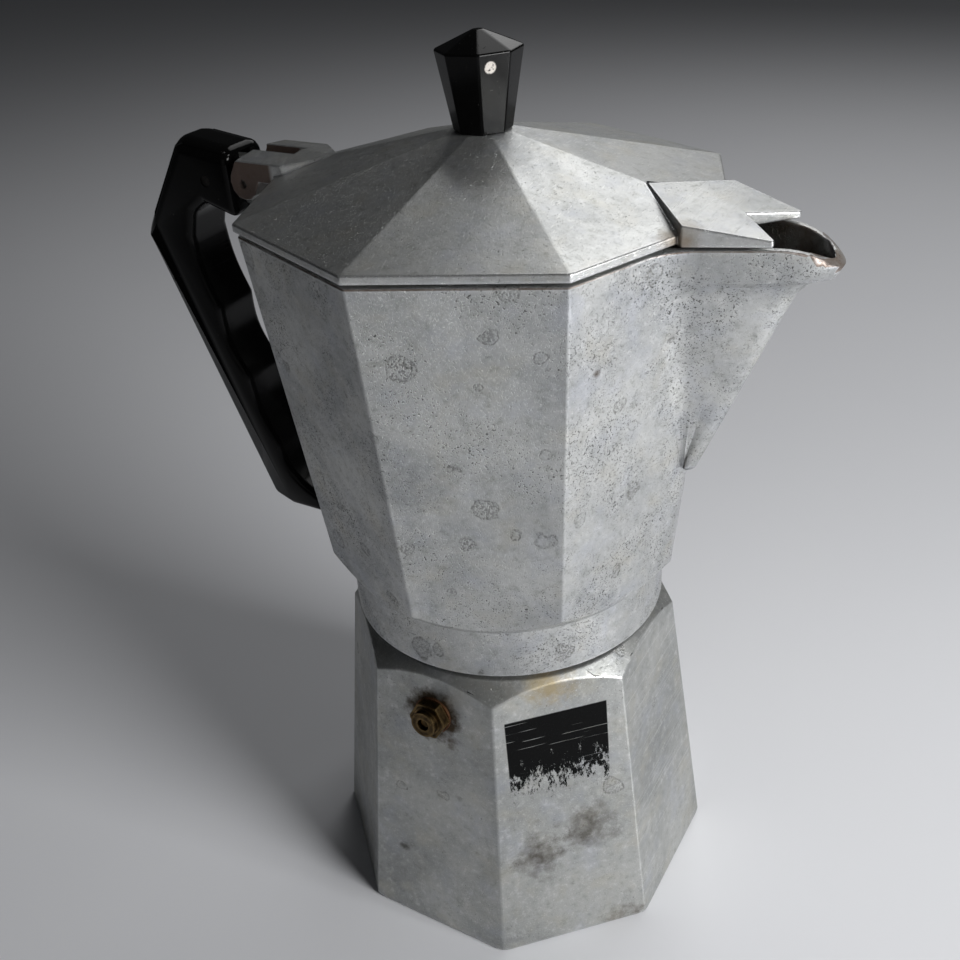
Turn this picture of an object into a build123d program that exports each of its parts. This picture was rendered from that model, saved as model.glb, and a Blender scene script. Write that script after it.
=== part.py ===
from build123d import *
import os
from math import atan2, cos, degrees, pi, radians, sin, sqrt, tan

# Moka pot, about nine small cups. Millimetres, +Z up, origin on the table under the pot's axis.
# The spout points along +X and the handle along -X, both on corners of the eight-sided collector.
# The safety valve points along -Y, on a flat side of the eight-sided boiler.

# Boiler
boiler_base_r = 59.0          # to the corners, on the table
boiler_top_r = 48.07          # to the corners, where the turned shoulder starts
boiler_top_z = 87.1
boiler_wall = 3.3
boiler_floor = 4.0
foot_bevel = 1.0
shoulder_low = (52.0, 83.7)   # turned shoulder cone, radius and height
shoulder_high = (42.4, 92.2)
neck_root_r = 39.7
neck_bore_r = 36.0
neck_top_z = 106.0
inner_top_r = 44.77           # to the hollow's corners, at inner_top_z
inner_top_z = 88.0
inner_shoulder = (47.4, 80.6)  # hollow under the shoulder, radius and height
inner_neck_z = 89.5

# Screw thread between boiler and collector
thread_pitch = 4.0
thread_height = 1.25
thread_base = 1.7
thread_crest = 0.7
male_thread_z = 95.6          # middle of the first turn
male_turns = 2.1
female_root_r = 41.45
female_thread_z = 98.35
female_turns = 2.1
thread_sink = 0.35            # depth that each thread is rooted in its wall

# Collector
skirt_r = 44.6
skirt_bottom_z = 95.4
skirt_top_z = 111.2
collector_low_r = 50.2        # to the corners
collector_low_z = 116.5
collector_top_r = 60.6
collector_top_z = 209.0
collector_wall = 2.8
chamber_floor_z = 115.2
seat_z = 110.9                # ring that the gasket is squeezed against
strainer_r = 30.5
riser_seat_r = 7.6
gasket_seat_r = 38.8
chamber_low_r = 45.8          # to the chamber's corners, at its floor
riser_top_z = 184.0
riser_bore_r = 4.6
riser_cap_top_z = 193.8

# Spout, on the corner at azimuth 0
spout_root_z = 141.0
spout_wall = 2.4
spout_sections = [            # height, tip distance, nose half width
    (147.0, 55.8, 2.4),
    (170.0, 65.6, 4.8),
    (190.0, 74.0, 7.0),
    (196.6, 76.9, 7.6),
    (199.4, 79.8, 8.0),
    (201.4, 84.8, 8.5),
    (204.6, 86.5, 9.2),
    (212.0, 87.2, 10.0)]
spout_top_root = (54.9, 17.4)   # where its sides leave the flat sides, at the rim
spout_hollow_low = 0.6          # reach of the hollow curve beside the spout, at its root and at the rim
spout_hollow_high = 7.0
spout_hollow_steps = 6
spout_hollow_z = 158.0         # the channel inside the spout starts here
lip_fall = [(70.0, 209.0), (76.0, 208.9), (80.0, 207.9), (83.0, 206.4), (86.5, 204.2), (90.0, 202.0)]

# Lid
lid_rim_r = 61.4              # to the corners
lid_rim_low_z = 210.1
lid_rim_top_z = 212.1
lid_peak_r = 7.0
lid_peak_z = 226.1
lid_wall = 2.2
hood_ridge = (41.3, 217.4)
hood_slope = 0.19
hood_root = (55.9, 16.7)
hood_tip = (73.6, 10.4)
hood_notch = 64.4
hood_wall = 2.4

# Hinge
hinge_x = -68.0
hinge_z = 209.2
hinge_half_width = 10.7
hinge_slot_half = 2.65
hinge_slot_end = -56.0
hinge_top_z = 216.5
hinge_top_fall = 0.12
hinge_front = -43.7
hinge_shoulder = -55.7
hinge_back_top = -69.7
knuckle_r = 4.3
pin_r = 1.2
lug_half = 2.35
pin_play = 0.06
lug_outline = [
    (-57.0, 176.0), (-58.6, 207.6), (-63.2, 207.6), (-66.0, 212.6), (-70.0, 213.4), (-92.0, 213.4),
    (-92.0, 201.6), (-74.2, 200.6), (-71.6, 196.5), (-60.2, 172.0)]
boss_low_z = 212.0            # the hinge boss widens from here up to boss_high_z
boss_high_z = 217.0
boss_draft = 2.2
boss_floor_z = 200.0

# Handle
handle_half = 8.0
handle_end_x = -75.3
handle_top = [(handle_end_x, 216.4), (-93.6, 218.8)]
handle_back_top = (-113.8, 188.4)
handle_back_low = (-82.2, 105.4)
handle_tip = (-59.5, 105.2)
handle_tip_in = (-61.5, 111.0)
arm_under = (handle_end_x, 197.6)
arm_inner = (-86.6, 201.0)
arm_corner = (-91.2, 197.8)
groove_start = (-93.4, 190.5)
crests = [(-87.8, 169.8), (-81.8, 149.4), (-74.6, 127.6)]
groove_depths = [3.2, 1.6, 2.2, 1.2]   # from the hook upwards
# line along an edge, its inward side, flat left, depth, run before and beyond
handle_facets = [
    (handle_back_low, handle_back_top, 1, 5.0, 9.0, 20, 20),
    (handle_back_top, handle_top[1], 1, 5.2, 2.2, 20, 20),
    (handle_top[1], handle_top[0], 1, 5.2, 2.0, 20, 20),
    (crests[2], crests[0], -1, 3.4, 5.0, 6, 24)]
rivet_x = -84.0
rivet_z = 207.6
rivet_r = 1.55
rivet_hole_r = 1.6
back_fillet = 4.5
handle_slot = (30.0, 14.5)    # length and height of the slot that takes the lug
handle_slot_x = -78.0
handle_slot_z = 200.4

# Knob
knob_low_r = 7.07
knob_high_r = 10.46
knob_high_z = 244.5
knob_apex_z = 248.3
knob_turn = 28.6              # degrees, its corners against the lid's
screw_r = 1.88
screw_hole_r = 1.9
screw_head_r = 4.0
screw_head_thick = 2.4
knob_washer_r = 5.6
knob_washer_thick = 1.0

# Funnel
funnel_r = 33.4
funnel_wall = 1.0
flange_r = 38.6
flange_thick = 1.2
funnel_depth = 31.0
stem_r = 6.0
stem_wall = 0.9
stem_low_z = 9.0
funnel_cone = 4.0             # drop from the basket's floor to the stem

# Safety valve
valve_z = 78.6
valve_flats = 9.8
valve_hex_thick = 3.0
valve_nose_r = 3.7
valve_nose_long = 1.9
valve_shank_r = 4.4
valve_bore_r = 1.75
valve_cavity_r = 3.0
valve_base = 0.7              # washer thickness, under the hexagon
valve_shank_low = -6.3        # distances along the valve's axis, outwards from the boiler's side
valve_shoulder = 2.7
retainer_low = -5.7
retainer_thick = 1.0
retainer_bore_r = 1.45
poppet_r = 2.6
poppet_low = -boiler_wall - 1.3
poppet_thick = 1.0
spring_r = 2.05
spring_wire_r = 0.28
spring_turns = 5


def octagon(radius, z, turn=0.0):
    corners = [(radius * cos(radians(turn + 45 * i)), radius * sin(radians(turn + 45 * i)))
               for i in range(8)]
    return Pos(0, 0, z) * make_face(Polyline(*corners, close=True))


def tapered(r_low, z_low, r_high, z_high, turn=0.0):
    return loft([octagon(r_low, z_low, turn), octagon(r_high, z_high, turn)], ruled=True)


def turned(*points):
    outline = make_face(Plane.XZ * Polyline(*points, close=True))
    return revolve(outline, Axis.Z)


def disc(radius, z_low, z_high):
    return Pos(0, 0, z_low) * Cylinder(radius, z_high - z_low, align=(Align.CENTER, Align.CENTER, Align.MIN))


def rod_y(radius, x, z, y_low, y_high):
    rod = Cylinder(radius, y_high - y_low, align=(Align.CENTER, Align.CENTER, Align.MIN))
    return Pos(x, y_high, z) * Rot(90, 0, 0) * rod


def plate_y(face_points, y_low, y_high):
    face = Plane.XZ * make_face(Polyline(*face_points, close=True))
    return extrude(Pos(0, y_high, 0) * face, amount=y_high - y_low)


def thread(radius, z_first, turns, outward):
    side = 1 if outward else -1
    root = radius - side * thread_sink
    path = Pos(0, 0, z_first) * Helix(pitch=thread_pitch, height=thread_pitch * turns, radius=root)
    crest = side * (thread_height + thread_sink)
    ridge = Polyline((0, -thread_base / 2), (crest, -thread_crest / 2),
                     (crest, thread_crest / 2), (0, thread_base / 2), close=True)
    start = Plane(origin=(root, 0, z_first), x_dir=(1, 0, 0), z_dir=(0, 1, 0))
    profile = make_face(start * Rot(0, 0, 180) * mirror(ridge, Plane.YZ))
    return sweep(profile, path=path, is_frenet=True)


def boiler_inradius(z):
    radius = boiler_base_r + (boiler_top_r - boiler_base_r) * z / boiler_top_z
    return radius * cos(radians(22.5))


def make_boiler():
    outside = boiler_base_r + 5
    shape = tapered(boiler_base_r, 0, boiler_top_r * 0.987, shoulder_high[1], 22.5)
    shape = shape & turned((0, 0), (outside, 0), (outside, 70.0),
                           shoulder_low, shoulder_high, (0, shoulder_high[1]))
    shape = shape & turned((0, 0), (boiler_base_r - foot_bevel * 0.9, 0), (outside, foot_bevel * 5.0),
                           (outside, 100), (0, 100))
    shape += disc(neck_root_r, shoulder_low[1], neck_top_z)
    shape += thread(neck_root_r, male_thread_z, male_turns, True)
    shape -= boiler_hollow()
    shape -= disc(neck_bore_r, inner_shoulder[1], neck_top_z + 5)
    # a small inward bevel at the mouth
    shape -= turned((neck_bore_r - 1, neck_top_z + 2), (neck_bore_r - 1, neck_top_z - 0.5),
                    (neck_bore_r, neck_top_z - 0.5), (neck_bore_r + 2.5, neck_top_z + 2))
    shape -= on_valve_axis(disc(valve_shank_r + 0.06, -12, 12))
    return shape


def boiler_hollow():
    low_r = boiler_base_r - boiler_wall - 0.6
    hollow = tapered(low_r, boiler_floor, inner_top_r, inner_top_z, 22.5)
    return hollow & turned((0, 0), (60, 0), (60, 66.0), inner_shoulder,
                           (neck_bore_r, inner_neck_z), (0, inner_neck_z))


def on_valve_axis(shape):
    # The valve stands square to the boiler's side, which leans inwards going up.
    lean = degrees(atan2(boiler_inradius(0) - boiler_inradius(boiler_top_z), boiler_top_z))
    return Pos(0, -boiler_inradius(valve_z), valve_z) * Rot(90 - lean, 0, 0) * shape


def hexagon(across_flats, z_low, z_high):
    return Pos(0, 0, z_low) * extrude(RegularPolygon(across_flats / 2, 6, major_radius=False), z_high - z_low)


def make_valve_body():
    top = valve_base + valve_hex_thick
    nose_end = top + valve_nose_long
    body = hexagon(valve_flats, valve_base, top)
    # its outer corners are turned off
    body = body & turned((0, valve_base), (6.2, valve_base), (6.2, top - 0.6), (5.4, top), (0, top))
    body += disc(valve_nose_r, top - 0.2, nose_end)
    body += disc(valve_shank_r, valve_shank_low, valve_base + 0.1)
    body -= disc(valve_bore_r, valve_shank_low - 4, nose_end + 1)
    body -= disc(valve_cavity_r, valve_shank_low - 1, valve_shoulder)
    return on_valve_axis(body)


def make_valve_washer():
    return on_valve_axis(disc(valve_flats / 2 + 0.6, 0.02, valve_base) - disc(valve_shank_r + 0.06, -1, 2))


def make_valve_poppet():
    stem = disc(1.3, poppet_low + 0.5, valve_base + valve_hex_thick + 0.9)
    return on_valve_axis(stem + disc(poppet_r, poppet_low, poppet_low + poppet_thick))


def make_valve_spring():
    low = poppet_low + poppet_thick + 0.38
    high = valve_shoulder - 0.38
    pitch = (high - low) / spring_turns
    path = Pos(0, 0, low) * Helix(pitch=pitch, height=high - low, radius=spring_r)
    start = Plane(origin=(spring_r, 0, low), x_dir=(1, 0, 0), z_dir=(0, 1, 0))
    return on_valve_axis(sweep(start * Circle(spring_wire_r), path=path, is_frenet=True))


def make_valve_retainer():
    ring = disc(valve_cavity_r - 0.02, retainer_low, retainer_low + retainer_thick)
    return on_valve_axis(ring - disc(retainer_bore_r, -10, 0))


def make_funnel_cup():
    top = neck_top_z + flange_thick
    low = top - funnel_depth
    cone = low - funnel_cone
    foot = funnel_r - 1.0
    bore = stem_r - stem_wall
    return turned((funnel_r - funnel_wall, top), (flange_r, top), (flange_r, neck_top_z),
                  (funnel_r, neck_top_z), (foot, low), (stem_r, cone), (bore, cone),
                  (bore, cone + 1.0), (foot - funnel_wall, low + 0.9))


def make_funnel_stem():
    top = neck_top_z + flange_thick - funnel_depth - funnel_cone
    tube = disc(stem_r, stem_low_z, top) - disc(stem_r - stem_wall, stem_low_z - 1, top + 1)
    # the foot is cut on the slant, so that it can't seal against the floor
    below = Box(40, 40, 6, align=(Align.CENTER, Align.CENTER, Align.MAX))
    return tube - Pos(0, 0, stem_low_z) * Rot(0, 18, 0) * below


def perforated(radius, z, thick, pitch, hole_r, rings):
    # A round plate with one hole in the middle and rings of six, twelve, eighteen ... round it.
    spots = [(0.0, 0.0)]
    for ring in range(1, rings + 1):
        count = 6 * ring
        turns = [2 * pi * i / count for i in range(count)]
        spots += [(pitch * ring * cos(turn), pitch * ring * sin(turn)) for turn in turns]
    hole = disc(hole_r, z - 1, z + thick + 1)
    return disc(radius, z, z + thick) - [Pos(x, y, 0) * hole for x, y in spots]


def make_funnel_screen():
    low = neck_top_z + flange_thick - funnel_depth
    return perforated(funnel_r - funnel_wall - 1.2, low + 0.95, 0.6, 4.6, 0.9, 6)


def make_filter_plate():
    radius = strainer_r - 0.3
    plate = perforated(radius, seat_z - 2.4, 0.7, 4.0, 0.7, 6)
    rim = disc(radius, seat_z - 2.4, seat_z - 0.4) - disc(radius - 0.8, seat_z - 4, seat_z + 1)
    return plate + rim


def make_gasket():
    low = neck_top_z + flange_thick + 0.3
    high = seat_z - 0.3
    bore = strainer_r - 0.1
    return turned((bore, low), (37.6, low), (38.4, (low + high) / 2), (37.6, high), (bore, high))


def spout_section(z, tip, nose_half, inset):
    # At height z: two sides that leave the flat faces in a hollow curve and run forward to a round nose.
    root_x, root_y = spout_root(z)
    nose = min(nose_half, 0.42 * (tip - root_x) + 0.8) - inset
    front = tip - inset
    shoulder = front - nose * 1.35
    side = root_y - inset * 1.1
    back = root_x - 16
    forward = (shoulder - root_x, side - nose)
    curve = [(root_x, side)] if inset else spout_hollow(z, (root_x, side), forward)
    far = [(shoulder, nose)] + curve + [(back, curve[-1][1])]
    near = [(x, -y) for x, y in far[::-1]]
    sides = [Line(a, b) for a, b in zip(near, near[1:])]
    tip_curve = Spline((shoulder, -nose), (front, 0), (shoulder, nose),
                       tangents=(forward, (-forward[0], forward[1])))
    others = [Line(a, b) for a, b in zip(far, far[1:])]
    outline = sides + [tip_curve] + others + [Line(far[-1], near[0])]
    return Pos(0, 0, z) * make_face(Wire(outline))


def spout_hollow(z, corner, forward):
    # Points of the hollow curve, from the spout's side round to just inside the flat face.
    reach = spout_hollow_low + (spout_hollow_high - spout_hollow_low) * (z - spout_root_z) / (
        collector_top_z - spout_root_z)
    length = sqrt(forward[0] ** 2 + forward[1] ** 2)
    start = (corner[0] + reach * forward[0] / length, corner[1] - reach * forward[1] / length)
    flat = radians(22.5)
    end = (corner[0] - reach * sin(flat) - 0.06, corner[1] + reach * cos(flat) - 0.02)
    steps = [i / spout_hollow_steps for i in range(spout_hollow_steps + 1)]
    return [tuple((1 - t) ** 2 * a + 2 * t * (1 - t) * c + t * t * b for a, c, b in zip(start, corner, end))
            for t in steps]


def spout_root(z):
    share = (z - spout_root_z) / (collector_top_z - spout_root_z)
    radius = collector_low_r + (collector_top_r - collector_low_r) * (z - collector_low_z) / (
        collector_top_z - collector_low_z)
    y = share * spout_top_root[1]
    x = radius - y * tan(radians(22.5))
    return x, y


def spout_solid(inset):
    sections = [spout_section(z, tip, half, inset) for z, tip, half in spout_sections]
    return loft(sections, ruled=True)


def lip_cut():
    # Everything above the rim, which falls in a curve along the spout to its lip.
    start = lip_fall[0]
    end = lip_fall[-1]
    curve = Spline(*lip_fall, tangents=((1, 0), (1, -0.75)))
    above = Polyline(end, (120, 185), (120, 240), (40, 240), (40, collector_top_z), start)
    face = make_face(Plane.XZ * Wire([curve] + list(above.edges())))
    return extrude(Pos(0, 60, 0) * face, amount=120)


def make_collector():
    body = collector_outside() + spout_solid(0.0) - lip_cut()
    body += disc(skirt_r, skirt_bottom_z, skirt_top_z + 0.5)
    body += make_lug()
    body -= collector_chamber()
    high_enough = Box(300, 300, 200, align=(Align.CENTER, Align.CENTER, Align.MIN))
    body -= spout_solid(spout_wall) & Pos(0, 0, spout_hollow_z) * high_enough
    body -= lip_cut()
    body -= disc(female_root_r, skirt_bottom_z - 1, seat_z - 2.5)
    body -= disc(gasket_seat_r, seat_z - 3, seat_z)
    strainer_edge = strainer_r - 1.5
    body -= turned((0, seat_z - 1), (strainer_edge, seat_z - 1), (strainer_edge, seat_z),
                   (riser_seat_r, seat_z + 1.6), (0, seat_z + 1.6))
    body -= disc(riser_seat_r, 100, chamber_floor_z + 1)
    body += thread(female_root_r, female_thread_z, female_turns, False)
    return body


def collector_outside():
    # Eight sides that run out at the bottom into a cone over the round skirt.
    body = tapered(collector_low_r - 1.4, collector_low_z - 12.0, collector_top_r, collector_top_z)
    low = skirt_top_z - 0.8
    return body & turned((0, low), (skirt_r, low), (skirt_r + 30, low + 30), (90, 260), (0, 260))


def collector_chamber():
    top_r = collector_top_r - collector_wall
    chamber = tapered(chamber_low_r, chamber_floor_z, top_r, collector_top_z)
    chamber += tapered(top_r, collector_top_z, top_r, 214.0)
    # a bevel round the floor follows the cone outside
    floor_r = chamber_low_r - 4
    return chamber & turned((0, chamber_floor_z), (floor_r, chamber_floor_z),
                            (floor_r + 30, chamber_floor_z + 26), (70, 260), (0, 260))


def make_lug():
    lug = plate_y(lug_outline, -lug_half, lug_half)
    lug -= rod_y(pin_r + pin_play, hinge_x, hinge_z, -20, 20)
    return lug - rod_y(rivet_hole_r, rivet_x, rivet_z, -20, 20)


def make_riser_tube():
    seat = chamber_floor_z - 2.6
    foot_r = riser_seat_r - 0.02
    return turned((riser_bore_r, seat), (foot_r, seat), (foot_r, chamber_floor_z), (9.5, chamber_floor_z),
                  (8.2, chamber_floor_z + 4), (6.4, riser_top_z), (riser_bore_r, riser_top_z))


def make_riser_cap():
    low = riser_top_z
    cap = turned((0, low), (6.4, low), (6.4, low + 6.0), (4.2, riser_cap_top_z - 0.4), (0, riser_cap_top_z))
    cap -= turned((0, low - 1), (riser_bore_r, low - 1), (riser_bore_r, low + 5.4), (0, low + 7.4))
    # coffee leaves through a window on each side
    for turn in (0, 180):
        cap -= Rot(0, 0, turn) * Pos(5, 0, low + 3.0) * Box(8, 5.0, 3.4)
    return cap


def lid_slope():
    return (lid_peak_z - lid_rim_top_z) / (lid_rim_r - lid_peak_r)


def make_lid():
    outer = tapered(lid_rim_r, lid_rim_low_z, lid_rim_r, lid_rim_top_z)
    outer += tapered(lid_rim_r, lid_rim_top_z, lid_peak_r, lid_peak_z)
    shape = outer + make_hood(0.0) + make_hinge_block()
    shape -= tapered(lid_inner_r(), lid_rim_low_z, lid_peak_r, lid_under())
    shape -= make_hood(hood_wall)
    shape -= hood_notch_cut()
    shape -= hinge_slot_cut()
    shape -= rod_y(pin_r + pin_play / 2, hinge_x, hinge_z, -30, 30)
    return shape - disc(screw_hole_r + 0.2, 200, 240)


def lid_inner_r():
    return lid_rim_r - lid_wall - 0.8


def lid_under():
    # Height of the lid's underside in the middle.
    return lid_rim_low_z + (lid_inner_r() - lid_peak_r) * lid_slope()


def hood_height(x):
    return hood_ridge[1] - hood_slope * (x - hood_ridge[0])


def make_hood(inset):
    # A flat roof that runs out over the spout, on two upright side walls.
    root_x, root_y = hood_root
    tip_x, tip_y = hood_tip
    start = hood_ridge[0] + inset * 4
    front = tip_x + inset * 3
    far = tip_x + 12
    plan = [(start, 0), (root_x, inset - root_y), (front, inset - tip_y),
            (front, tip_y - inset), (root_x, root_y - inset)]
    walls = extrude(Pos(0, 0, 190) * make_face(Polyline(*plan, close=True)), 40)
    base = lid_rim_low_z - (1.0 if inset else 0.3)
    roof_start = hood_height(start) - inset
    profile = [(start - 20, base), (far, base), (far, hood_height(far) - inset),
               (start, roof_start), (start - 20, roof_start)]
    return walls & plate_y(profile, -40, 40)


def hood_notch_cut():
    reach = 22.0
    plan = [(hood_notch, 0), (hood_notch + reach, -reach * 1.02), (hood_notch + reach, reach * 1.02)]
    return extrude(Pos(0, 0, 200) * make_face(Polyline(*plan, close=True)), 30)


def make_hinge_block():
    # Cast boss, its front pointing at the knob, its two ears hanging over the rim.
    half = hinge_half_width
    top = boss_plan(0.0)
    low = boss_plan(boss_draft)
    boss = loft([Pos(0, 0, boss_low_z) * low, Pos(0, 0, boss_high_z) * top], ruled=True)
    boss += extrude(Pos(0, 0, boss_floor_z) * low, boss_low_z - boss_floor_z)
    edge = hinge_top_z - hinge_top_fall * half
    roof = make_face(Polyline((-half, 190), (half, 190), (half, edge), (0, hinge_top_z),
                              (-half, edge), close=True))
    boss = boss & extrude(Pos(-100, 0, 0) * (Plane.YZ * roof), 70)
    return boss & plate_y(ear_outline(edge), -half, half)


def boss_plan(draft):
    back = hinge_back_top - 6
    half = hinge_half_width
    return make_face(Polyline((hinge_front + draft, 0), (hinge_shoulder + draft, half), (back, half),
                              (back, -half), (hinge_shoulder + draft, -half), close=True))


def ear_outline(edge):
    # Side view: over the lid's rim, round under the pin, and up the back.
    seat = lid_rim_top_z + 0.2
    x = hinge_x
    z = hinge_z
    return [(-38.0, 230), (-38.0, seat), (-56.0, seat), (-56.6, lid_rim_low_z), (-62.6, lid_rim_low_z),
            (x + 3.4, z - 2.8), (x + 2.0, z - 4.0), (x, z - knuckle_r), (x - 2.2, z - 3.7),
            (x - 3.7, z - 2.1), (x - knuckle_r, z + 0.4), (x - 4.0, z + 2.0),
            (hinge_back_top, edge), (hinge_back_top + 0.4, 230)]


def hinge_slot_cut():
    slot = Box(60, hinge_slot_half * 2, 60, align=(Align.MAX, Align.CENTER, Align.CENTER))
    return Pos(hinge_slot_end, 0, 215) * slot


def make_hinge_pin():
    return rod_y(pin_r, hinge_x, hinge_z, -hinge_half_width + 1.2, hinge_half_width - 1.2)


def handle_outline():
    # Side view, clockwise from the end of the arm: crown, back, lower hook, finger hollows, inner corner.
    corners = handle_top + [handle_back_top, handle_back_low, handle_tip, handle_tip_in]
    outer = [Line(a, b) for a, b in zip(corners, corners[1:])]
    stops = [handle_tip_in] + crests[::-1] + [groove_start]
    grooves = []
    for (x0, z0), (x1, z1), depth in zip(stops, stops[1:], groove_depths):
        span = sqrt((x1 - x0) ** 2 + (z1 - z0) ** 2)
        middle = ((x0 + x1) / 2 - depth * (z1 - z0) / span, (z0 + z1) / 2 + depth * (x1 - x0) / span)
        grooves.append(ThreePointArc((x0, z0), middle, (x1, z1)))
    corner = ThreePointArc(groove_start, arm_corner, arm_inner)
    return Wire(outer + grooves + [corner, Line(arm_inner, arm_under), Line(arm_under, handle_top[0])])


def make_handle():
    side = make_face(Plane.XZ * handle_outline())
    shape = extrude(Pos(0, handle_half, 0) * side, handle_half * 2)
    backs = [e for e in shape.edges().filter_by(Axis.Y) if on_back(e.center())]
    shape = fillet(backs, back_fillet)
    for low, high, inwards, flat_half, depth, before, beyond in handle_facets:
        shape = bevel_along(shape, low, high, inwards, flat_half, depth, before, beyond)
    slot = Box(handle_slot[0], (lug_half + 0.04) * 2, handle_slot[1],
               align=(Align.CENTER, Align.CENTER, Align.MIN))
    shape -= Pos(handle_slot_x, 0, handle_slot_z) * slot
    return shape - rod_y(rivet_hole_r, rivet_x, rivet_z, -20, 20)


def on_back(point):
    spots = [handle_top[1], handle_back_top, handle_back_low]
    return any(abs(point.X - x) < 0.5 and abs(point.Z - z) < 0.5 for x, z in spots)


def bevel_along(shape, low, high, side, flat_half, depth, before, beyond):
    # Slanting facets down both edges of the stretch from low to high, flat_half wide at the surface.
    along = (high[0] - low[0], 0, high[1] - low[1])
    length = sqrt(along[0] ** 2 + along[2] ** 2)
    inward = (side * along[2], 0, -side * along[0])
    place = Plane(origin=(low[0], 0, low[1]), x_dir=inward, z_dir=along)
    proud = 1.5
    start = flat_half - proud * (handle_half - flat_half) / depth
    for edge in (-1, 1):
        wedge = make_face(Polyline((-proud, edge * start), (depth, edge * (handle_half + 0.01)),
                                   (depth, edge * 14), (-proud, edge * 14), close=True))
        shape -= place * Pos(0, 0, -before) * extrude(wedge, length + before + beyond)
    return shape


def make_handle_pin():
    return rod_y(rivet_r, rivet_x, rivet_z, -handle_half + 0.3, handle_half - 0.3)


def make_knob():
    low = octagon(knob_low_r, lid_peak_z, knob_turn)
    high = octagon(knob_high_r, knob_high_z, knob_turn)
    shape = loft([low, high], ruled=True)
    shape += loft([high, octagon(1.0, knob_apex_z, knob_turn)], ruled=True)
    return shape - disc(screw_hole_r, lid_peak_z - 1, lid_peak_z + 12.5)


def make_knob_screw():
    # A slotted screw that comes up through the lid into the knob.
    seat = lid_under() - knob_washer_thick
    foot = seat - screw_head_thick
    head = disc(screw_head_r, foot, seat) - Pos(0, 0, foot) * Box(9, 1.0, 2.0)
    return disc(screw_r, seat, lid_peak_z + 11.5) + head


def make_knob_washer():
    ring = disc(knob_washer_r, lid_under() - knob_washer_thick, lid_under() - 0.02)
    return ring - disc(screw_hole_r, 200, 240)


nodes = {
    "boiler": make_boiler,
    "valve_body": make_valve_body,
    "valve_washer": make_valve_washer,
    "valve_poppet": make_valve_poppet,
    "valve_spring": make_valve_spring,
    "valve_retainer": make_valve_retainer,
    "funnel_cup": make_funnel_cup,
    "funnel_stem": make_funnel_stem,
    "funnel_screen": make_funnel_screen,
    "filter_plate": make_filter_plate,
    "gasket": make_gasket,
    "collector": make_collector,
    "riser_tube": make_riser_tube,
    "riser_cap": make_riser_cap,
    "lid": make_lid,
    "hinge_pin": make_hinge_pin,
    "handle": make_handle,
    "handle_pin": make_handle_pin,
    "knob": make_knob,
    "knob_screw": make_knob_screw,
    "knob_washer": make_knob_washer,
}

os.makedirs("parts", exist_ok=True)
for name, make in nodes.items():
    part = make()
    part.label = name
    export_step(part, f"parts/{name}.step")
    print(name, round(part.volume), len(part.solids()))
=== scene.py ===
from math import cos, pi, radians, sin

import bpy
from mathutils import Matrix, Vector


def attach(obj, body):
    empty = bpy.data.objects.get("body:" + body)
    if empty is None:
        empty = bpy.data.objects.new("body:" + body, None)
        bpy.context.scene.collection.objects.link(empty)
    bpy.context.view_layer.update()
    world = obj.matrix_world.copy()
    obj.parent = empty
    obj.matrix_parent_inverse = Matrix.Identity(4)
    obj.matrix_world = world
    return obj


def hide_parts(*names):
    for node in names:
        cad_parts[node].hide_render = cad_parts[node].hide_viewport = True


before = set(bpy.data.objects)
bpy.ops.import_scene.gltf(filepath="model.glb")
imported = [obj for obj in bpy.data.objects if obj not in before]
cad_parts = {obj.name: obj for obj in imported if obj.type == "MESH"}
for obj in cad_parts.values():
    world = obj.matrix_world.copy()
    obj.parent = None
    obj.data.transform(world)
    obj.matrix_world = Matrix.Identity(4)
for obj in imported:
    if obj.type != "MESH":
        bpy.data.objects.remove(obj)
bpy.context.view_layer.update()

mm = 0.001
bpy.ops.object.select_all(action="DESELECT")
print("frame loaded")


# Camera

cameraLook = {
    "azimuth": 31.848,
    "elevation": 31.803,
    "roll": -4.084,
    "place": (135.177, -230.243, 294.718),
    "lens": 41.963,
}


def makeCamera(look):
    a, e, roll = (radians(look[name]) for name in ("azimuth", "elevation", "roll"))
    back = Vector((sin(a) * cos(e), -cos(a) * cos(e), sin(e)))
    right = (-back).cross(Vector((0, 0, 1))).normalized()
    up = right.cross(-back)
    rolledRight = cos(roll) * right + sin(roll) * up
    rolledUp = cos(roll) * up - sin(roll) * right
    bpy.ops.object.camera_add()
    camera = bpy.context.object
    camera.name = "camera"
    turn = Matrix((rolledRight, rolledUp, back)).transposed().to_4x4()
    camera.matrix_world = Matrix.Translation(Vector(look["place"]) * mm) @ turn
    camera.data.lens = look["lens"]
    camera.data.sensor_width = 36
    camera.data.clip_start = 0.01
    bpy.context.scene.camera = camera
    camera.select_set(False)


makeCamera(cameraLook)
print("camera placed")


# Small helpers for meshes

def takeUp(piece):
    bpy.ops.object.select_all(action="DESELECT")
    piece.select_set(True)
    bpy.context.view_layer.objects.active = piece


def applyModifier(piece, kind, **settings):
    takeUp(piece)
    modifier = piece.modifiers.new(kind.lower(), kind)
    for name, value in settings.items():
        setattr(modifier, name, value)
    bpy.ops.object.modifier_apply(modifier=modifier.name)


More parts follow.
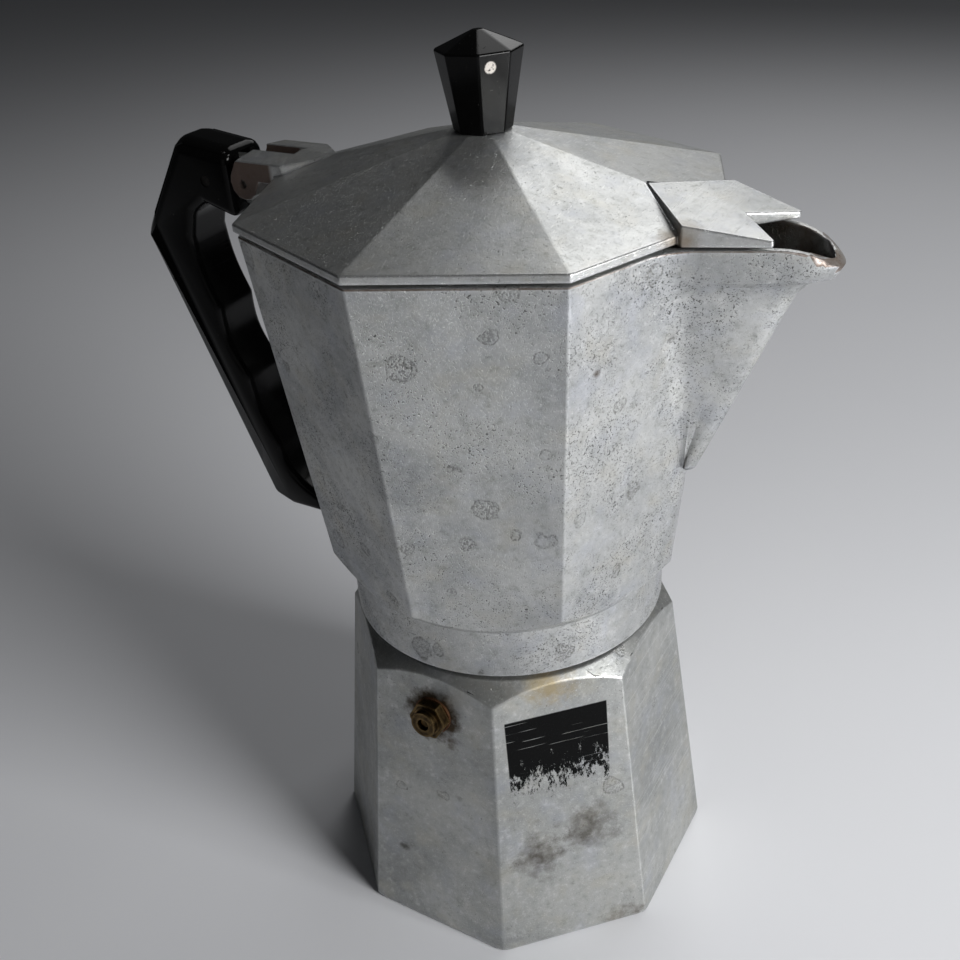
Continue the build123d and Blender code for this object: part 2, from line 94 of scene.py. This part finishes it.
def roundEdges(piece, width, segments=3, angle=24, keepSharp=None, skipShort=False):
    # A small radius on every corner long enough to take it, and normals that keep the wide flats flat.
    takeUp(piece)
    bpy.ops.object.shade_smooth()
    bpy.ops.object.mode_set(mode="EDIT")
    bpy.ops.mesh.select_mode(type="EDGE")
    bpy.ops.mesh.select_all(action="DESELECT")
    bpy.ops.mesh.edges_select_sharp(sharpness=radians(angle))
    bpy.ops.object.mode_set(mode="OBJECT")
    points = piece.data.vertices
    weights = piece.data.attributes.new("bevel_weight_edge", "FLOAT", "EDGE")
    for edge in piece.data.edges:
        start, end = (points[i].co for i in edge.vertices)
        sharp = keepSharp and (keepSharp(start) or keepSharp(end))
        long = not skipShort or (end - start).length > width * mm
        weights.data[edge.index].value = 1.0 if edge.select and long and not sharp else 0.0
    applyModifier(piece, "BEVEL", width=width * mm, segments=segments, limit_method="WEIGHT",
                  use_clamp_overlap=False, loop_slide=False, miter_outer="MITER_SHARP")
    applyModifier(piece, "WEIGHTED_NORMAL", weight=60, keep_sharp=True)


def copyOfNode(node, name):
    # The CAD mesh is loose triangles, so a copy is merged and its flats made whole.
    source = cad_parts[node]
    piece = source.copy()
    piece.data = source.data.copy()
    piece.name = piece.data.name = name
    for key in list(piece.keys()):
        if key.startswith("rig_"):
            del piece[key]
    piece.parent = None
    bpy.context.scene.collection.objects.link(piece)
    takeUp(piece)
    bpy.ops.object.mode_set(mode="EDIT")
    bpy.ops.mesh.select_all(action="SELECT")
    bpy.ops.mesh.customdata_custom_splitnormals_clear()
    bpy.ops.mesh.remove_doubles(threshold=0.001 * mm)
    bpy.ops.mesh.dissolve_limited(angle_limit=radians(0.8))
    bpy.ops.object.mode_set(mode="OBJECT")
    return piece


def finishPiece(piece, body, slot, material, *nodes):
    takeUp(piece)
    bpy.ops.object.transform_apply(location=True, rotation=True, scale=True)
    piece.data.materials.clear()
    piece.data.materials.append(material)
    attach(piece, body)
    if nodes:
        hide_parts(*nodes)
    piece.select_set(False)


# Small helpers for materials

def srgb(colour):
    channels = [int(colour[i:i + 2], 16) / 255 for i in (1, 3, 5)]
    return [c / 12.92 if c < 0.04045 else ((c + 0.055) / 1.055) ** 2.4 for c in channels] + [1]


def addNode(tree, kind, inputs=None, **settings):
    node = tree.nodes.new("ShaderNode" + kind)
    for name, value in settings.items():
        setattr(node, name, value)
    for socket, value in (inputs or {}).items():
        if isinstance(value, bpy.types.NodeSocket):
            tree.links.new(value, node.inputs[socket])
        else:
            node.inputs[socket].default_value = value
    return node


def newMaterial(name, **sockets):
    material = bpy.data.materials.new(name)
    material.use_nodes = True
    tree = material.node_tree
    shader = tree.nodes["Principled BSDF"]
    for socket, value in sockets.items():
        shader.inputs[socket.replace("_", " ")].default_value = value
    place = addNode(tree, "TexCoord").outputs["Object"]
    return material, tree, shader, place


def times(tree, a, b):
    return addNode(tree, "Math", {0: a, 1: b}, operation="MULTIPLY").outputs[0]


def laidOver(tree, under, over, mask):
    return addNode(tree, "MixRGB", {"Fac": mask, "Color1": under, "Color2": over}).outputs["Color"]


def between(tree, value, low, high, start=0.0, end=1.0):
    return addNode(tree, "MapRange", {"Value": value, "From Min": low, "From Max": high,
                                      "To Min": start, "To Max": end}).outputs["Result"]


def grain(tree, place, size, detail=3.0, rough=0.55, warp=0.0):
    # Cloudy variation whose lumps are about size millimetres across.
    return addNode(tree, "TexNoise", {"Vector": place, "Scale": 1000 / size, "Detail": detail,
                                      "Roughness": rough, "Distortion": warp}).outputs["Fac"]


def specks(tree, place, size, cover):
    # Ragged flecks about size millimetres across: the tips of a rough noise, cut off at the given cover.
    rough = grain(tree, place, size * 2.6, 2.5, 0.62, 0.6)
    return between(tree, rough, 1 - cover, 1 - cover + 0.03)


def scratches(tree, place, turn, length, width, amount):
    # Noise drawn out along one direction, cut off so that only thin lines stay.
    drawn = addNode(tree, "Mapping", {"Vector": place, "Rotation": [radians(t) for t in turn],
                                      "Scale": (1, width / length, 1)})
    lines = grain(tree, drawn.outputs["Vector"], width * 2.2, 2.0, 0.5)
    return between(tree, lines, 1 - amount, 1 - amount + 0.035)


def shadeWith(tree, shader, colour, rough, height, depth):
    tree.links.new(colour, shader.inputs["Base Color"])
    tree.links.new(rough, shader.inputs["Roughness"])
    bump = addNode(tree, "Bump", {"Height": height, "Strength": 1.0, "Distance": depth * mm})
    tree.links.new(bump.outputs["Normal"], shader.inputs["Normal"])


# Cast aluminium: gravity-cast, tumbled, then dulled by years of washing. A pale grey oxide skin
# scatters most of the light, small gas pits are dark, and only rubbed corners still shine; their lighter colour
# is partly a painted highlight.

castLook = {
    "collector": {"light": "#c9cac8", "dark": "#a7a9aa", "pits": 0.415, "bunched": (0.42, 0.60),
                  "stains": 0.85, "scratch": 0.30, "flecks": 0.26, "rough": (0.36, 0.50), "cloud": 26},
    "lid": {"light": "#cccdcb", "dark": "#adafaf", "pits": 0.36, "bunched": (0.46, 0.66),
            "stains": 0.0, "scratch": 0.35, "flecks": 0.33, "rough": (0.30, 0.42), "cloud": 34},
    "boiler": {"light": "#b7b8b5", "dark": "#9a9c9b", "pits": 0.36, "bunched": (0.50, 0.70),
               "stains": 0.08, "scratch": 0.33, "flecks": 0.27, "rough": (0.34, 0.46), "cloud": 30},
}


def castAluminium(name, look):
    material, tree, shader, place = newMaterial(name, Metallic=0.86)
    cloud = grain(tree, place, look["cloud"], 5.0, 0.62, 0.4)
    colour = laidOver(tree, srgb(look["dark"]), srgb(look["light"]), between(tree, cloud, 0.34, 0.62))
    mottle = grain(tree, place, 2.6, 4.0, 0.7)
    colour = laidOver(tree, colour, srgb("#83857f"), between(tree, mottle, 0.54, 0.74, 0.0, 0.6))
    colour = laidOver(tree, colour, srgb("#dcdddc"), between(tree, mottle, 0.46, 0.28, 0.0, 0.5))
    tint = grain(tree, place, 11, 3.0, 0.6)
    colour = laidOver(tree, colour, srgb("#aeb4c6"), between(tree, tint, 0.54, 0.70, 0.0, 0.2))
    colour = laidOver(tree, colour, srgb("#c2bba6"), between(tree, tint, 0.46, 0.32, 0.0, 0.2))
    bunched = between(tree, grain(tree, place, 19, 4.0, 0.6), *look["bunched"])
    fine = times(tree, specks(tree, place, 0.18, look["pits"]), between(tree, bunched, 0, 1, 0.22, 1.0))
    large = times(tree, specks(tree, place, 0.38, look["pits"] - 0.06), bunched)
    pits = addNode(tree, "Math", {0: fine, 1: large}, operation="MAXIMUM").outputs[0]
    colour = laidOver(tree, colour, srgb("#34332f"), times(tree, pits, 0.8))
    if look["stains"]:
        stain = ringStains(tree, place, look["stains"])
        colour = laidOver(tree, colour, srgb("#55544f"), stain)
        pits = addNode(tree, "Math", {0: pits, 1: stain}, operation="MAXIMUM").outputs[0]
    shallow = scratches(tree, place, (20, 35, 12), 22, 0.14, look["scratch"])
    steep = scratches(tree, place, (-35, 10, 64), 30, 0.12, look["scratch"])
    line = addNode(tree, "Math", {0: shallow, 1: steep}, operation="MAXIMUM").outputs[0]
    flecks = specks(tree, place, 0.3, look["flecks"])
    line = addNode(tree, "Math", {0: line, 1: flecks}, operation="MAXIMUM").outputs[0]
    colour = laidOver(tree, colour, srgb("#eeeeec"), times(tree, line, 0.5))
    # Corners painted lighter: partly rubbed-bright metal, partly a painted highlight.
    rubbedAndHighlight = rubbedCornersAndHighlight(tree)
    colour = laidOver(tree, colour, srgb("#e4e5e8"), times(tree, rubbedAndHighlight, 0.55))
    rough = between(tree, cloud, 0.3, 0.7, look["rough"][1], look["rough"][0])
    rough = addNode(tree, "Math", {0: rough, 1: times(tree, pits, 0.25)}, operation="ADD").outputs[0]
    rough = addNode(tree, "Math", {0: rough, 1: times(tree, rubbedAndHighlight, 0.12)}, operation="SUBTRACT").outputs[0]
    skin = times(tree, grain(tree, place, 0.9, 3.0, 0.7), 0.35)
    height = addNode(tree, "Math", {0: skin, 1: pits}, operation="SUBTRACT").outputs[0]
    scored = times(tree, line, 0.12)
    height = addNode(tree, "Math", {0: height, 1: scored}, operation="SUBTRACT").outputs[0]
    shadeWith(tree, shader, colour, rough, height, 0.12)
    return material, tree, shader, place


def ringStains(tree, place, share):
    # Dried drops: a broken dark rim round a peppered middle, a few of them to each face.
    wobble = addNode(tree, "TexNoise", {"Vector": place, "Scale": 1000 / 5.0, "Detail": 3.0}).outputs["Color"]
    moved = addNode(tree, "MixRGB", {"Fac": 0.004, "Color1": place, "Color2": wobble}, blend_type="ADD")
    cell = addNode(tree, "TexVoronoi", {"Vector": moved.outputs["Color"], "Scale": 1000 / 12.0})
    away = cell.outputs["Distance"]
    pick = addNode(tree, "SeparateColor", {"Color": cell.outputs["Color"]}).outputs
    size = between(tree, pick["Red"], 0.0, 1.0, 0.12, 0.30)
    reach = addNode(tree, "Math", {0: away, 1: size}, operation="DIVIDE").outputs[0]
    rim = times(tree, between(tree, reach, 1.08, 0.96), between(tree, reach, 0.74, 0.92))
    pepper = between(tree, grain(tree, place, 0.6, 2.0), 0.45, 0.56)
    middle = times(tree, times(tree, between(tree, reach, 1.0, 0.8), pepper), pick["Blue"])
    mark = addNode(tree, "Math", {0: times(tree, rim, between(tree, pepper, 0, 1, 0.35, 1.0)), 1: middle},
                   operation="MAXIMUM").outputs[0]
    return times(tree, mark, between(tree, pick["Green"], share, share * 0.92, 0.0, 0.55))


def rubbedCornersAndHighlight(tree):
    # Where a rounded normal parts from the true one there is a corner, rubbed bright by hands; the mask lightens
    # it both as wear and as a painted highlight.
    soft = addNode(tree, "Bevel", {"Radius": 1.1 * mm}, samples=4).outputs["Normal"]
    true = addNode(tree, "NewGeometry").outputs["True Normal"]
    same = addNode(tree, "VectorMath", {0: soft, 1: true}, operation="DOT_PRODUCT").outputs["Value"]
    return between(tree, same, 0.992, 0.93)


def brownStain(tree, shader, mask, colour, amount):
    under = shader.inputs["Base Color"].links[0].from_socket
    mixed = laidOver(tree, under, srgb(colour), times(tree, mask, amount))
    tree.links.new(mixed, shader.inputs["Base Color"])
    under = shader.inputs["Roughness"].links[0].from_socket
    duller = addNode(tree, "Math", {0: under, 1: times(tree, mask, 0.18)}, operation="ADD").outputs[0]
    tree.links.new(duller, shader.inputs["Roughness"])


def metalUnder(tree, shader, mask, bare, covered):
    tree.links.new(between(tree, mask, 0.0, 1.0, bare, covered), shader.inputs["Metallic"])


def nearPoint(tree, place, point, radius, soft, ragged=0.0):
    # One inside a ball round the point, in millimetres, fading over soft, its edge broken up by noise.
    away = addNode(tree, "VectorMath", {0: place, 1: [v * mm for v in point]}, operation="DISTANCE")
    noise = between(tree, grain(tree, place, 4.5, 5.0, 0.65), 0.25, 0.75, -ragged * mm, ragged * mm)
    edge = addNode(tree, "Math", {0: away.outputs["Value"], 1: noise}, operation="ADD").outputs[0]
    return between(tree, edge, (radius + soft / 2) * mm, (radius - soft / 2) * mm)


# Label: a plain black patch of stove paint, most of it rubbed away towards the bottom.

labelLook = {"turn": 45, "left": -15.6, "right": 13.5, "top": 81.4, "solidTo": 71, "goneAt": 50,
             "outFrom": 38, "outTo": 39}


def paintedPatch(tree, place, look):
    onFace = addNode(tree, "Mapping", {"Vector": place, "Rotation": (0, 0, radians(look["turn"]))})
    axes = addNode(tree, "SeparateXYZ", {"Vector": onFace.outputs["Vector"]}).outputs
    across = times(tree, between(tree, axes["Y"], (look["left"] - 0.1) * mm, (look["left"] + 0.15) * mm),
                   between(tree, axes["Y"], (look["right"] + 0.1) * mm, (look["right"] - 0.15) * mm))
    outer = between(tree, axes["X"], look["outFrom"] * mm, look["outTo"] * mm)
    below = between(tree, axes["Z"], (look["top"] + 0.1) * mm, (look["top"] - 0.15) * mm)
    streaked = addNode(tree, "Mapping", {"Vector": onFace.outputs["Vector"], "Scale": (1, 1, 0.45)})
    wear = between(tree, grain(tree, streaked.outputs["Vector"], 2.2, 9.0, 0.82), 0.34, 0.66)
    kept = between(tree, axes["Z"], look["goneAt"] * mm, look["solidTo"] * mm, 0.0, 1.05)
    paint = addNode(tree, "Math", {0: kept, 1: wear}, operation="SUBTRACT").outputs[0]
    paint = between(tree, paint, -0.02, 0.03)
    scored = scratches(tree, onFace.outputs["Vector"], (70, 0, 0), 9, 0.16, 0.33)
    paint = times(tree, paint, between(tree, scored, 1.0, 0.0, 0.25, 1.0))
    return times(tree, times(tree, times(tree, across, below), outer), paint)


# Places where the boiler is stained: round the valve and below it, on the shoulder, under the label, at the foot
boilerStains = [
    ((0, -45.4, 78.6), 7.6, 3.2, 2.6, "#3a2a12", 0.92),
    ((6.0, -46.4, 72), 1.8, 3.0, 2.8, "#4a3820", 0.7),
    ((30, -33, 90.5), 5.0, 7.0, 4.0, "#a08a52", 0.6),
    ((29.6, -42.4, 33), 4.6, 9.0, 5.0, "#3a2f1c", 0.78),
    ((40.0, -30.8, 39), 4.8, 10.0, 6.0, "#40372a", 0.70),
    ((46, -24, 2), 5.0, 6.0, 5.0, "#4d4030", 0.6),
    ((-12, -51, 25), 1.2, 1.6, 1.5, "#3a352c", 0.7),
    ((8, -48, 52), 0.9, 1.2, 1.2, "#4a443a", 0.6),
]


def makeBoilerMaterial():
    material, tree, shader, place = castAluminium("wornCastAluminiumBoiler", castLook["boiler"])
    for point, radius, soft, ragged, colour, amount in boilerStains:
        brownStain(tree, shader, nearPoint(tree, place, point, radius, soft, ragged), colour, amount)
    paint = paintedPatch(tree, place, labelLook)
    under = shader.inputs["Base Color"].links[0].from_socket
    tree.links.new(laidOver(tree, under, srgb("#0b0c0c"), paint), shader.inputs["Base Color"])
    rough = shader.inputs["Roughness"].links[0].from_socket
    tree.links.new(laidOver(tree, rough, (0.62, 0.62, 0.62, 1), paint), shader.inputs["Roughness"])
    return material


def makeCollectorMaterial():
    material, tree, shader, place = castAluminium("wornCastAluminiumCollector", castLook["collector"])
    normal = addNode(tree, "TexCoord").outputs["Normal"]
    facing = addNode(tree, "SeparateXYZ", {"Vector": normal}).outputs["Z"]
    inside = times(tree, between(tree, facing, 0.03, 0.10), between(tree, facing, 0.93, 0.86))
    patches = between(tree, grain(tree, place, 9, 4.0), 0.25, 0.6)
    brownStain(tree, shader, times(tree, inside, patches), "#5b3f22", 0.75)
    drop = nearPoint(tree, place, (43.5, -33, 186), 1.0, 1.1, 0.5)
    brownStain(tree, shader, drop, "#3b2410", 0.9)
    return material


def makeLidMaterial():
    material, tree, shader, place = castAluminium("wornCastAluminiumLid", castLook["lid"])
    axes = addNode(tree, "SeparateXYZ", {"Vector": place}).outputs
    normal = addNode(tree, "TexCoord").outputs["Normal"]
    facing = addNode(tree, "SeparateXYZ", {"Vector": normal}).outputs["Z"]
    tilt = addNode(tree, "Math", {0: facing}, operation="ABSOLUTE").outputs[0]
    upright = between(tree, tilt, 0.7, 0.4)
    milled = times(tree, between(tree, axes["X"], -57.2 * mm, -58.6 * mm), upright)
    brownStain(tree, shader, milled, "#4b3527", 0.92)
    metalUnder(tree, shader, milled, 0.86, 0.25)
    root = nearPoint(tree, place, (56, -17, 211), 3.5, 5.0, 2.0)
    brownStain(tree, shader, root, "#7c6233", 0.6)
    return material


# Bakelite: phenolic moulding, glossy black, its skin faintly dulled where hands hold it.

def makeBakelite(name, chip=None):
    material, tree, shader, place = newMaterial(name, IOR=1.5, Specular_IOR_Level=0.15)
    cloud = grain(tree, place, 14, 4.0, 0.6)
    colour = laidOver(tree, srgb("#040404"), srgb("#0a0a0a"), cloud)
    dust = specks(tree, place, 0.3, 0.27)
    colour = laidOver(tree, colour, srgb("#8a8884"), times(tree, dust, 0.5))
    rough = between(tree, cloud, 0.3, 0.7, 0.10, 0.20)
    line = scratches(tree, place, (15, 70, 30), 18, 0.14, 0.30)
    rough = addNode(tree, "Math", {0: rough, 1: times(tree, line, 0.25)}, operation="ADD").outputs[0]
    if chip:
        broken = nearPoint(tree, place, chip, 1.35, 0.3, 0.0)
        shape = grain(tree, place, 0.8, 4.0, 0.8)
        broken = times(tree, broken, between(tree, shape, 0.38, 0.46))
        colour = laidOver(tree, colour, srgb("#cfc9c2"), broken)
        rough = addNode(tree, "Math", {0: rough, 1: times(tree, broken, 0.5)}, operation="ADD").outputs[0]
    height = addNode(tree, "Math", {0: times(tree, grain(tree, place, 3.5), 0.35), 1: times(tree, line, 0.1)},
                     operation="SUBTRACT").outputs[0]
    shadeWith(tree, shader, colour, rough, height, 0.05)
    return material


# Metals and rubber of the small parts

# The rubbed colour is laid on corners: rubbed wear together with a painted highlight.
smallLook = {
    "tarnishedBrass": {"light": "#5b4a30", "dark": "#1f1810", "rubbedAndHighlight": "#9a8158", "metallic": 1.0,
                       "rough": (0.24, 0.46), "grain": 2.2},
    "dullCopper": {"light": "#6e5138", "dark": "#33241a", "rubbedAndHighlight": "#a9795a", "metallic": 0.95,
                   "rough": (0.35, 0.6), "grain": 3.0},
    "drawnSteel": {"light": "#a9a9a6", "dark": "#6c6862", "rubbedAndHighlight": "#d0d0cc", "metallic": 1.0,
                   "rough": (0.25, 0.45), "grain": 2.0},
    "blackenedSteel": {"light": "#2b2927", "dark": "#141312", "rubbedAndHighlight": "#3b3936", "metallic": 0.8,
                       "rough": (0.4, 0.6), "grain": 2.0},
    "paleSealRubber": {"light": "#d3cdbd", "dark": "#a8946e", "rubbedAndHighlight": "#dcd6c6", "metallic": 0.0,
                       "rough": (0.55, 0.75), "grain": 7.0},
}

spunLook = {"light": "#c9cacc", "dark": "#a7a8aa", "metallic": 0.95, "rough": (0.28, 0.42), "grain": 8.0}


def makeSmallMaterial(name, look):
    material, tree, shader, place = newMaterial(name, Metallic=look["metallic"])
    cloud = grain(tree, place, look["grain"], 5.0, 0.65, 0.5)
    colour = laidOver(tree, srgb(look["dark"]), srgb(look["light"]), between(tree, cloud, 0.35, 0.65))
    # Corners painted toward the rubbed colour: partly wear, partly a painted highlight.
    colour = laidOver(tree, colour, srgb(look["rubbedAndHighlight"]), times(tree, rubbedCornersAndHighlight(tree), 0.45))
    rough = between(tree, cloud, 0.3, 0.7, look["rough"][1], look["rough"][0])
    shadeWith(tree, shader, colour, rough, grain(tree, place, 0.7, 3.0), 0.03)
    return material


def makeSpunMaterial(look):
    # Spun sheet: fine rings round the axis from the roller, about 0.5 mm apart.
    material, tree, shader, place = newMaterial("spunAluminium", Metallic=look["metallic"])
    rings = addNode(tree, "TexWave", {"Vector": place, "Scale": 1 / (0.5 * mm * 2 * pi), "Distortion": 1.5,
                                      "Detail": 2.0, "Detail Scale": 0.6},
                    wave_type="RINGS", rings_direction="Z").outputs["Fac"]
    cloud = grain(tree, place, look["grain"], 4.0)
    colour = laidOver(tree, srgb(look["dark"]), srgb(look["light"]), between(tree, cloud, 0.35, 0.65))
    rough = between(tree, rings, 0.0, 1.0, *look["rough"])
    shadeWith(tree, shader, colour, rough, rings, 0.02)
    return material


collectorMetal = makeCollectorMaterial()
boilerMetal = makeBoilerMaterial()
lidMetal = makeLidMaterial()
handleBakelite = makeBakelite("blackBakelite")
knobBakelite = makeBakelite("blackBakeliteChipped", (6.5, -6.5, 241.5))
small = {name: makeSmallMaterial(name, look) for name, look in smallLook.items()}
small["spunAluminium"] = makeSpunMaterial(spunLook)
print("materials made")


# Cast pieces, each with the small radius that its mould and the tumbling gave its corners

castPieces = {
    "boilerCasting": ("boiler", "boiler_set", "cast_aluminium", boilerMetal, 0.5, 3, 24),
    "collectorCasting": ("collector", "collector_set", "cast_aluminium", collectorMetal, 0.5, 3, 24),
    "lidCasting": ("lid", "lid_set", "cast_aluminium", lidMetal, 0.4, 3, 9),
}


# Places, in millimetres, where corners stay as they are: the spout's foot and lip run out to nothing, and
# the threads are fine.
sharpPlaces = {
    "footFrom": 30, "footLow": 118, "footHigh": 178, "footHalf": 24,
    "lipFrom": 80,
    "threadTop": 114.5, "threadRadius": 42.5,
    "neckLow": 91, "neckRadius": 42.2,
}


def onCollectorDetail(point):
    x, y, z = point / mm
    place = sharpPlaces
    foot = x > place["footFrom"] and place["footLow"] < z < place["footHigh"] and abs(y) < place["footHalf"]
    thread = z < place["threadTop"] and Vector((x, y)).length < place["threadRadius"]
    return foot or x > place["lipFrom"] or thread


def onBoilerNeck(point):
    x, y, z = point / mm
    return z > sharpPlaces["neckLow"] and Vector((x, y)).length < sharpPlaces["neckRadius"]


keptSharp = {"collector": onCollectorDetail, "boiler": onBoilerNeck, "lid": None}


def makeCastPieces():
    for name, (node, body, slot, material, radius, segments, angle) in castPieces.items():
        piece = copyOfNode(node, name)
        roundEdges(piece, radius, segments, angle, keptSharp[node], skipShort=True)
        finishPiece(piece, body, slot, material, node)
        print(name, len(piece.data.polygons), "faces")


def pickFaces(piece, wanted):
    # Only the faces that pass the test stay selected, ready for the edit-mode tools.
    bpy.ops.object.mode_set(mode="EDIT")
    bpy.ops.mesh.select_mode(type="FACE")
    bpy.ops.mesh.select_all(action="DESELECT")
    bpy.ops.object.mode_set(mode="OBJECT")
    for face in piece.data.polygons:
        face.select = wanted(face)
    bpy.ops.object.mode_set(mode="EDIT")


# Knob: eight tall facets that widen upwards, under a low pyramid

knobShape = {"lowRadius": 7.07, "highRadius": 10.46, "low": 226.1, "high": 244.5, "apex": 248.3,
             "turn": 28.6, "edge": 0.45}


def makeKnob(shape):
    tall = shape["high"] - shape["low"]
    bpy.ops.mesh.primitive_cone_add(
        vertices=8, radius1=shape["lowRadius"] * mm, radius2=shape["highRadius"] * mm, depth=tall * mm,
        location=(0, 0, (shape["low"] + tall / 2) * mm), rotation=(0, 0, radians(shape["turn"])))
    knob = bpy.context.object
    knob.name = knob.data.name = "knobMoulding"
    bpy.ops.object.transform_apply(location=True, rotation=True, scale=True)
    pickFaces(knob, lambda face: face.normal.z > 0.9)
    rise = (shape["apex"] - shape["high"]) * mm
    bpy.ops.mesh.extrude_region_move(TRANSFORM_OT_translate={"value": (0, 0, rise)})
    bpy.ops.transform.resize(value=(0.12, 0.12, 1))
    bpy.ops.object.mode_set(mode="OBJECT")
    roundEdges(knob, shape["edge"], 4, 12)
    finishPiece(knob, "lid_set", "bakelite", knobBakelite, "knob")


# Handle: a cranked bakelite bar with finger hollows, slanting facets down its back, all edges well rounded

handleShape = {
    "half": 8.0,
    "arm": [(-75.3, 216.4), (-93.6, 218.8)],
    "back": [(-113.8, 188.4), (-82.2, 105.4)],
    "hook": [(-59.5, 105.2), (-61.5, 111.0)],
    "crests": [(-74.6, 127.6), (-81.8, 149.4), (-87.8, 169.8), (-93.4, 190.5)],
    "hollows": [3.2, 1.6, 2.2, 1.2],
    "inner": [(-91.2, 197.8), (-86.6, 201.0), (-75.3, 197.6)],
    "facets": [((-82.2, 105.4), (-113.8, 188.4), 5.0, 9.0), ((-113.8, 188.4), (-93.6, 218.8), 5.2, 2.4),
               ((-93.6, 218.8), (-75.3, 216.4), 5.2, 2.0)],
    "edge": 2.3,
    "slot": ((-93.0, -2.39, 200.4), (-63.0, 2.39, 214.9)),
    "rivet": (-84.0, 207.6, 1.6),
}


def hollowPoints(start, end, depth, steps=9):
    # A shallow curve between two crests, bowed towards the back of the handle.
    across = Vector((end[0] - start[0], end[1] - start[1]))
    inward = Vector((-across.y, across.x)).normalized() * depth
    return [Vector(start) + across * (i / steps) + inward * sin(pi * i / steps) for i in range(1, steps + 1)]


def handleOutline(shape):
    points = shape["arm"] + shape["back"] + shape["hook"]
    stops = [shape["hook"][-1]] + shape["crests"]
    for start, end, depth in zip(stops, stops[1:], shape["hollows"]):
        points = points + [tuple(p) for p in hollowPoints(start, end, depth)]
    return points + shape["inner"]


def makeHandle(shape):
    outline = handleOutline(shape)
    bpy.ops.mesh.primitive_circle_add(vertices=len(outline), radius=1, fill_type="NGON")
    handle = bpy.context.object
    handle.name = handle.data.name = "handleMoulding"
    for vertex, (x, z) in zip(handle.data.vertices, outline):
        vertex.co = (x * mm, -shape["half"] * mm, z * mm)
    bpy.ops.object.mode_set(mode="EDIT")
    bpy.ops.mesh.select_all(action="SELECT")
    bpy.ops.mesh.extrude_region_move(TRANSFORM_OT_translate={"value": (0, 2 * shape["half"] * mm, 0)})
    bpy.ops.mesh.select_all(action="SELECT")
    bpy.ops.mesh.normals_make_consistent(inside=False)
    for low, high, flat, depth in shape["facets"]:
        along = Vector((high[0] - low[0], 0, high[1] - low[1])).normalized()
        inward = Vector((along.z, 0, -along.x))
        for side in (-1, 1):
            outward = Vector((0, side * depth, 0)) - inward * (shape["half"] - flat)
            bpy.ops.mesh.select_all(action="SELECT")
            bpy.ops.mesh.bisect(plane_co=Vector((low[0], side * flat, low[1])) * mm,
                                plane_no=outward.normalized(), use_fill=True, clear_outer=True)
    bpy.ops.object.mode_set(mode="OBJECT")
    roundEdges(handle, shape["edge"], 5, 30)
    cutOut(handle, shape)
    finishPiece(handle, "collector_set", "bakelite", handleBakelite, "handle")
    print("handle", len(handle.data.polygons), "faces")


def cutOut(handle, shape):
    # The slot that takes the collector's lug, and the hole for the rivet.
    low, high = (Vector(corner) * mm for corner in shape["slot"])
    bpy.ops.mesh.primitive_cube_add(size=1, location=(low + high) / 2, scale=high - low)
    slot = bpy.context.object
    x, z, radius = shape["rivet"]
    bpy.ops.mesh.primitive_cylinder_add(vertices=32, radius=radius * mm, depth=40 * mm,
                                        location=(x * mm, 0, z * mm), rotation=(pi / 2, 0, 0))
    hole = bpy.context.object
    for tool in (slot, hole):
        applyModifier(handle, "BOOLEAN", operation="DIFFERENCE", object=tool, solver="EXACT")
        bpy.data.objects.remove(tool)


makeCastPieces()
makeKnob(knobShape)
makeHandle(handleShape)

nodeMaterials = {
    "tarnishedBrass": ("valve_body", "valve_poppet", "valve_retainer"),
    "dullCopper": ("valve_washer",),
    "drawnSteel": ("valve_spring", "hinge_pin", "knob_screw", "knob_washer"),
    "blackenedSteel": ("handle_pin",),
    "spunAluminium": ("funnel_cup", "funnel_stem", "funnel_screen", "filter_plate", "riser_cap",
                      "riser_tube"),
    "paleSealRubber": ("gasket",),
}
for name, nodes in nodeMaterials.items():
    for node in nodes:
        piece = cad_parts[node]
        piece.data.materials.clear()
        piece.data.materials.append(small[name])
print("pieces made")


# Floor and light

lightLook = {
    "key": {"place": (0.88, -0.12, 0.44), "size": 0.45, "power": 11.5, "aim": (0, 0, 0.12)},
    "back": {"place": (-0.02, 0.72, 0.84), "size": 0.7, "power": 2.8, "aim": (0, 0, 0.18)},
    "front": {"place": (0.15, -0.95, 0.35), "size": 0.6, "power": 0.2, "aim": (0, 0, 0.12)},
    "world": "#85878a",
    "worldStrength": 0.09,
    "floor": "#dfe0e3",
}


def makeStage(look):
    bpy.ops.mesh.primitive_plane_add(size=8, location=(0, 0, -0.0002))
    floor = bpy.context.object
    floor.name = "floor"
    material, tree, shader, place = newMaterial("paleTableTop", Roughness=0.32)
    tone = grain(tree, place, 60, 4.0)
    colour = laidOver(tree, srgb(look["floor"]), srgb("#dddee2"), tone)
    tree.links.new(colour, shader.inputs["Base Color"])
    floor.data.materials.append(material)
    for name in ("key", "back", "front"):
        lamp = look[name]
        bpy.ops.object.light_add(type="AREA", location=lamp["place"])
        light = bpy.context.object
        light.name = name + "Light"
        light.data.size = lamp["size"]
        light.data.energy = lamp["power"]
        toward = Vector(lamp["aim"]) - Vector(lamp["place"])
        light.rotation_euler = toward.to_track_quat("-Z", "Y").to_euler()
    world = bpy.data.worlds.new("studio")
    world.use_nodes = True
    sky = world.node_tree.nodes["Background"]
    sky.inputs["Color"].default_value = srgb(look["world"])
    sky.inputs["Strength"].default_value = look["worldStrength"]
    bpy.context.scene.world = world
    bpy.context.scene.view_settings.view_transform = "Standard"


makeStage(lightLook)
bpy.ops.object.select_all(action="DESELECT")
print("stage and lights set")
